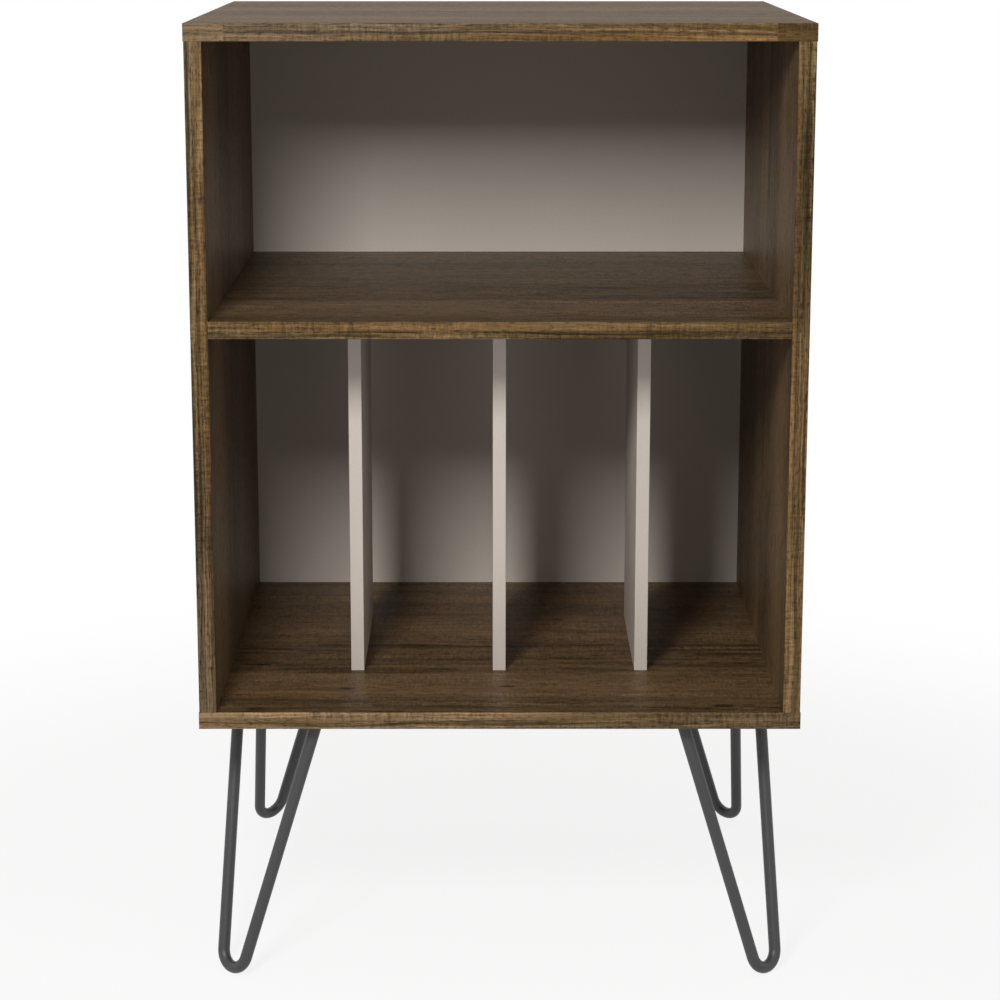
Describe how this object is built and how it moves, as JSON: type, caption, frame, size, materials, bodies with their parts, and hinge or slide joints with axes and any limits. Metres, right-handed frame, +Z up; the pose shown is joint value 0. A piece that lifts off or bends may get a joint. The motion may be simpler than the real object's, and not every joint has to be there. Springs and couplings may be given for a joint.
{
  "type": "turntable stand",
  "caption": "Open walnut cabinet on black hairpin legs, with a flat top for a turntable, an open upper bay and a record bay with pale upright dividers.",
  "frame": {"origin": "on the floor, under the middle of the stand's overall box", "axes": "+Z up, -Y towards the open front, +X to the right as seen from the front"},
  "size_m": [0.527, 0.453, 0.847],
  "materials": {
    "walnut_laminate": "satin walnut-print laminate",
    "walnut_edging": "printed walnut edging",
    "walnut_print": "printed cover disc",
    "taupe_board": "satin taupe laminate",
    "taupe_edging": "satin taupe edging",
    "back_hardboard": "taupe-faced hardboard",
    "black_steel": "charcoal powder coat",
    "screw_steel": "zinc-plated steel",
    "cast_zinc": "die-cast zinc",
    "beech": "plain beech"
  },
  "bodies": {
    "root": {"top_board": "walnut_laminate", "bottom_board": "walnut_laminate", "fixed_shelf": "walnut_laminate", "left_side": "walnut_laminate", "right_side": "walnut_laminate", "top_front_strip": "walnut_edging", "top_left_strip": "walnut_edging", "top_right_strip": "walnut_edging", "bottom_front_strip": "walnut_edging", "bottom_left_strip": "walnut_edging", "bottom_right_strip": "walnut_edging", "left_side_strip": "walnut_edging", "right_side_strip": "walnut_edging", "shelf_strip": "walnut_edging", "cam_covers": "walnut_print", "left_divider": "taupe_board", "centre_divider": "taupe_board", "right_divider": "taupe_board", "left_divider_front_strip": "taupe_edging", "left_divider_rear_strip": "taupe_edging", "centre_divider_front_strip": "taupe_edging", "centre_divider_rear_strip": "taupe_edging", "right_divider_front_strip": "taupe_edging", "right_divider_rear_strip": "taupe_edging", "back_panel": "back_hardboard", "front_left_leg_rod": "black_steel", "front_right_leg_rod": "black_steel", "rear_left_leg_rod": "black_steel", "rear_right_leg_rod": "black_steel", "front_left_leg_plate": "black_steel", "front_right_leg_plate": "black_steel", "rear_left_leg_plate": "black_steel", "rear_right_leg_plate": "black_steel", "leg_screws": "screw_steel", "base_screws": "screw_steel", "divider_screws": "screw_steel", "back_nails": "screw_steel", "cam_bolts": "cast_zinc", "cam_locks": "cast_zinc", "wood_dowels": "beech", "divider_dowels": "beech"}
  },
  "joints": []
}
